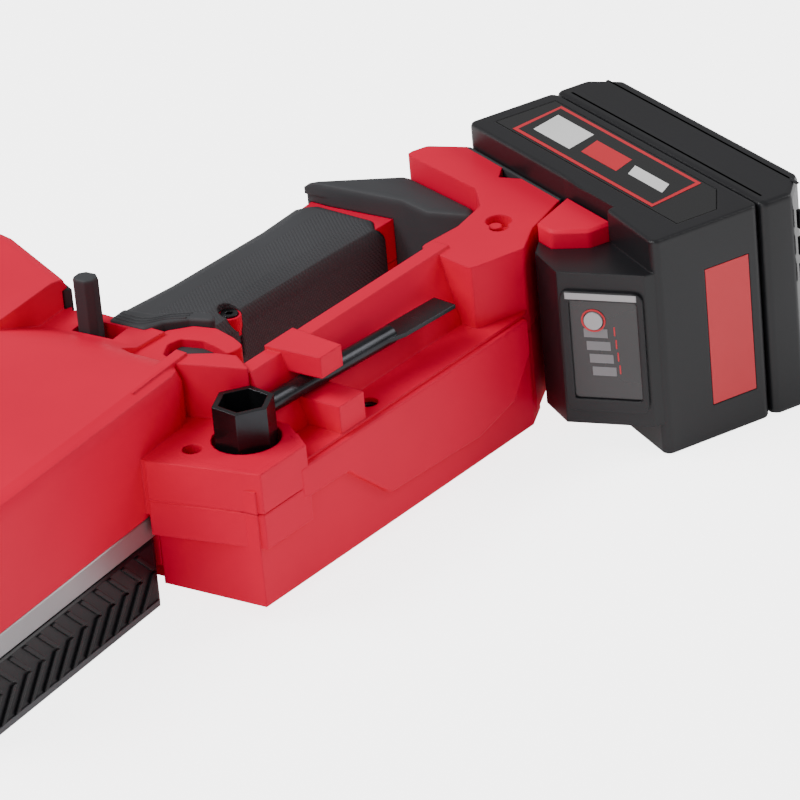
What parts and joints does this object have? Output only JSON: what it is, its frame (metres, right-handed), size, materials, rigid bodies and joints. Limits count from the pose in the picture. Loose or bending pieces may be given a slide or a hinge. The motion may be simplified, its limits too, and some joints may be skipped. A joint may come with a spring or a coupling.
{
  "type": "battery pruning saw",
  "caption": "Small battery chainsaw with a loop handle, lock-off lever, sprocket cover, slide-on battery and a bar wrench stowed in a tray on the handle's beam.",
  "frame": {"origin": "middle of the underside of the outline box, as the saw lies on its right side", "axes": "+X from the bar's tip towards the battery, +Y from the handle's beam towards the top of the grip, +Z from the bar's side to the saw's left side, which faces up"},
  "size_m": [0.631, 0.2996, 0.09],
  "materials": {
    "red_nylon": "satin moulded nylon",
    "grip_rubber": "matt, finely textured",
    "battery_black": "fine spark texture",
    "cover_black": "satin",
    "steel": "ground",
    "black_oxide": "black oxide",
    "cast_alloy": "cast",
    "copper_winding": "enamelled wire",
    "smoked_lens": "polished",
    "circuit_board": "lacquered",
    "tank_white": "translucent moulding",
    "label_silver": "printed film"
  },
  "bodies": {
    "saw": {"block_screw": "black_oxide", "bucking_spikes": "steel", "chain_catcher": "cast_alloy", "control_board": "circuit_board", "foot_screw": "black_oxide", "front_bar_stud": "steel", "front_motor_bearing": "steel", "gear_case": "cast_alloy", "gear_cover": "cast_alloy", "grip_rubber": "grip_rubber", "grip_screw": "black_oxide", "left_housing": "red_nylon", "motor_stator": "copper_winding", "oil_pump": "battery_black", "oil_tank": "tank_white", "rear_bar_stud": "steel", "rear_collar": "grip_rubber", "rear_motor_bearing": "steel", "right_housing": "red_nylon", "spike_screw_1": "black_oxide", "spike_screw_2": "black_oxide", "spindle_bearing": "steel", "sprocket_cover": "cover_black", "terminal_block": "battery_black", "thumb_pad": "grip_rubber", "tray_screw": "black_oxide", "trigger_pin": "steel", "trigger_switch": "battery_black"},
    "trigger": {"trigger": "grip_rubber", "trigger_spring": "steel"},
    "lever": {"lock_off_lever": "grip_rubber", "lever_spring": "steel"},
    "spindle": {"drive_gear": "steel", "spindle": "steel", "chain_sprocket": "steel"},
    "rotor": {"motor_rotor": "steel", "motor_shaft": "steel", "cooling_fan": "battery_black", "motor_pinion": "steel"},
    "oil_cap": {"oil_cap": "battery_black"},
    "bar": {"guide_bar": "steel", "saw_chain": "black_oxide", "tension_pin": "steel"},
    "tension_screw": {"tension_screw": "black_oxide"},
    "rear_nut": {"rear_bar_nut": "steel"},
    "front_nut": {"front_bar_nut": "steel"},
    "wrench": {"bar_wrench": "black_oxide"},
    "battery": {"battery_case": "battery_black", "battery_base": "battery_black", "cell_block": "label_silver", "gauge_lens": "smoked_lens", "side_label": "label_silver", "end_label": "label_silver", "left_latch_spring": "steel", "right_latch_spring": "steel"},
    "left_latch": {"left_latch_button": "red_nylon"},
    "right_latch": {"right_latch_button": "red_nylon"},
    "gauge_button": {"gauge_button": "label_silver"}
  },
  "joints": [
    {"name": "trigger_pull", "type": "hinge", "parent": "saw", "child": "trigger", "pos_m": [0.07846, 0.03288, 0.044], "axis": [0, 0, 1], "range_deg": [0, 9], "stiffness_Nm_per_rad": 0.4, "springref_deg": -28.65},
    {"name": "lock_off_push", "type": "slide", "parent": "saw", "child": "lever", "axis": [0, -1, 0], "range_m": [0, 0.008], "stiffness_N_per_m": 300, "springref_m": -0.006},
    {"name": "spindle_spin", "type": "hinge", "parent": "saw", "child": "spindle", "pos_m": [-0.02175, 0.03867, 0.044], "axis": [0, 0, 1], "continuous": true},
    {"name": "rotor_spin", "type": "hinge", "parent": "saw", "child": "rotor", "pos_m": [-0.00054, 0.05988, 0.044], "axis": [0, 0, 1], "continuous": true},
    {"name": "oil_cap_turn", "type": "hinge", "parent": "saw", "child": "oil_cap", "pos_m": [-0.06354, 0.03188, 0.082], "axis": [0, 0, 1], "continuous": true},
    {"name": "bar_tension", "type": "slide", "parent": "saw", "child": "bar", "axis": [-1, 0, 0], "range_m": [0, 0.002]},
    {"name": "tension_screw_turn", "type": "hinge", "parent": "saw", "child": "tension_screw", "pos_m": [-0.08954, 0.01697, 0.022], "axis": [1, 0, 0], "continuous": true},
    {"name": "rear_nut_turn", "type": "hinge", "parent": "saw", "child": "rear_nut", "pos_m": [-0.05375, 0.03867, 0.004], "axis": [0, 0, 1], "continuous": true},
    {"name": "front_nut_turn", "type": "hinge", "parent": "saw", "child": "front_nut", "pos_m": [-0.07175, 0.03867, 0.004], "axis": [0, 0, 1], "continuous": true},
    {"name": "wrench_swing", "type": "hinge", "parent": "saw", "child": "wrench", "pos_m": [0.05337, -0.03735, 0.068], "axis": [0, 0, -1], "range_deg": [0, 40]},
    {"name": "battery_slide", "type": "slide", "parent": "saw", "child": "battery", "axis": [-0.4226, -0.9063, 0], "range_m": [0, 0.09]},
    {"name": "left_latch_press", "type": "slide", "parent": "battery", "child": "left_latch", "axis": [0, 0, -1], "range_m": [0, 0.003], "stiffness_N_per_m": 800, "springref_m": -0.003, "deforming": ["left_latch_spring"]},
    {"name": "right_latch_press", "type": "slide", "parent": "battery", "child": "right_latch", "axis": [0, 0, 1], "range_m": [0, 0.003], "stiffness_N_per_m": 800, "springref_m": -0.003, "deforming": ["right_latch_spring"]},
    {"name": "gauge_press", "type": "slide", "parent": "battery", "child": "gauge_button", "axis": [0.9596, 0.2815, 0], "range_m": [0, 0.001], "stiffness_N_per_m": 500, "springref_m": -0.001}
  ],
  "couplings": [
    {"joint": "rotor_spin", "follows": "spindle_spin", "ratio": -3}
  ]
}
